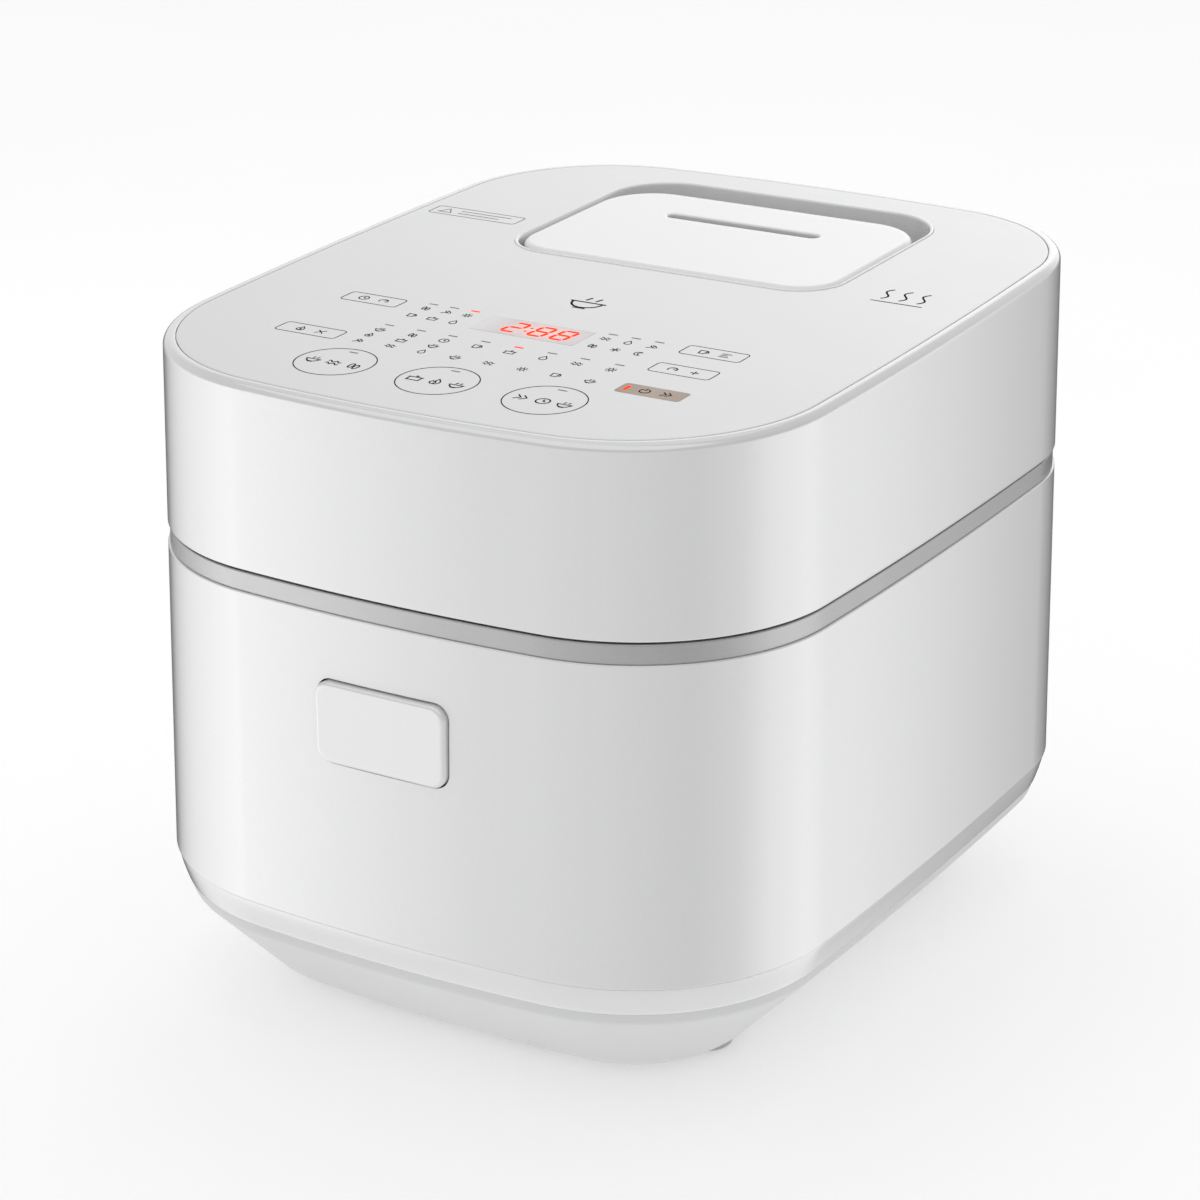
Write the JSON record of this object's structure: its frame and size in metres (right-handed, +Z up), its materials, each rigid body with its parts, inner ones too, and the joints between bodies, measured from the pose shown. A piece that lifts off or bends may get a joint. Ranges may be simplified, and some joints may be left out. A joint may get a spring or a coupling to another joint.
{
  "type": "rice cooker",
  "caption": "Rounded-box induction rice cooker with a hinged touch-panel lid, lift-out steam valve, front release button, inner pot and rear power inlet.",
  "frame": {"origin": "on the floor under the middle of the bounding box", "axes": "+Z up, -Y towards the front with the release button, +Y towards the hinge and the power inlet, +X to the right for a person facing the front"},
  "size_m": [0.2744, 0.356, 0.2622],
  "materials": {
    "shell_white": "high-gloss white ABS",
    "panel_white": "printed gloss film under clear coat",
    "cap_white": "gloss white",
    "base_white": "fine satin texture",
    "deck_grey": "satin light grey",
    "silver_trim": "satin silver paint",
    "rubber_grey": "matt",
    "silicone_grey": "translucent matt silicone",
    "black_plastic": "glass-filled moulded plastic",
    "well_aluminium": "pressed sheet",
    "heater_foil": "foil-backed heating belt",
    "coil_copper": "enamelled litz winding",
    "ferrite": "sintered ferrite",
    "sensor_steel": "pressed cap",
    "spring_steel": "drawn wire",
    "pin_steel": "ground",
    "screw_steel": "zinc plated",
    "lid_steel": "satin pressed sheet",
    "contact_brass": "plated",
    "circuit_board": "solder mask",
    "component_dark": "moulded cases",
    "pot_coating": "non-stick coating",
    "display_window": "smoked window with red digits",
    "valve_clear": "gloss white"
  },
  "bodies": {
    "body": {"base_tray": "base_white", "rubber_feet": "rubber_grey", "base_screws": "screw_steel", "trim_band": "shell_white", "outer_shell": "shell_white", "silver_trim_ring": "silver_trim", "top_deck": "deck_grey", "heating_well": "well_aluminium", "side_heater": "heater_foil", "induction_coil": "coil_copper", "coil_carrier": "black_plastic", "ferrite_bars": "ferrite", "sensor_guide": "black_plastic", "sensor_spring": "spring_steel", "fan_frame": "black_plastic", "main_board": "circuit_board", "heat_sink": "well_aluminium", "board_components": "component_dark", "rear_housing": "base_white", "power_inlet": "black_plastic", "inlet_pins": "contact_brass", "hinge_bracket": "base_white", "hinge_pin": "pin_steel", "hinge_spring": "spring_steel", "latch_bracket": "black_plastic", "latch_pin": "pin_steel", "button_spring": "spring_steel", "spring_seat": "base_white"},
    "lid": {"lid_cover": "shell_white", "control_panel": "panel_white", "valve_pocket": "shell_white", "lid_liner": "deck_grey", "lid_screws": "screw_steel", "lid_heater_plate": "well_aluminium", "lid_sensor": "sensor_steel", "inner_lid": "lid_steel", "inner_lid_knob": "silicone_grey", "lid_gasket": "silicone_grey", "vent_tube": "silicone_grey", "display_board": "circuit_board", "led_display": "display_window", "touch_springs": "spring_steel", "lid_striker": "screw_steel", "hinge_arms": "base_white"},
    "steam_valve": {"valve_cap": "cap_white", "valve_body": "valve_clear", "valve_gasket": "silicone_grey"},
    "button": {"release_button": "shell_white"},
    "latch": {"latch_lever": "base_white"},
    "pot": {"inner_pot": "pot_coating"},
    "sensor": {"pot_sensor": "sensor_steel"},
    "fan": {"fan_rotor": "black_plastic"}
  },
  "joints": [
    {"name": "lid_hinge", "type": "hinge", "parent": "body", "child": "lid", "pos_m": [0, 0.1653, 0.1814], "axis": [-1, 0, 0], "range_deg": [0, 85]},
    {"name": "steam_valve_lift", "type": "slide", "parent": "lid", "child": "steam_valve", "axis": [0, 0, 1], "range_m": [0, 0.045]},
    {"name": "button_press", "type": "slide", "parent": "body", "child": "button", "axis": [0, 1, 0], "range_m": [0, 0.003], "stiffness_N_per_m": 700, "springref_m": -0.002, "deforming": ["button_spring"]},
    {"name": "latch_pivot", "type": "hinge", "parent": "body", "child": "latch", "pos_m": [0, -0.1583, 0.1474], "axis": [1, 0, 0], "range_deg": [0, 15]},
    {"name": "pot_turn", "type": "hinge", "parent": "body", "child": "pot", "pos_m": [0, -0.017, 0.1], "axis": [0, 0, 1], "continuous": true},
    {"name": "sensor_travel", "type": "slide", "parent": "body", "child": "sensor", "axis": [0, 0, 1], "range_m": [-0.002, 0], "stiffness_N_per_m": 400, "springref_m": 0.003, "deforming": ["sensor_spring"]},
    {"name": "fan_spin", "type": "hinge", "parent": "body", "child": "fan", "pos_m": [-0.04, 0.074, 0.0134], "axis": [0, 0, 1], "continuous": true}
  ],
  "couplings": [
    {"joint": "latch_pivot", "follows": "button_press", "rad_per_m": 80}
  ]
}
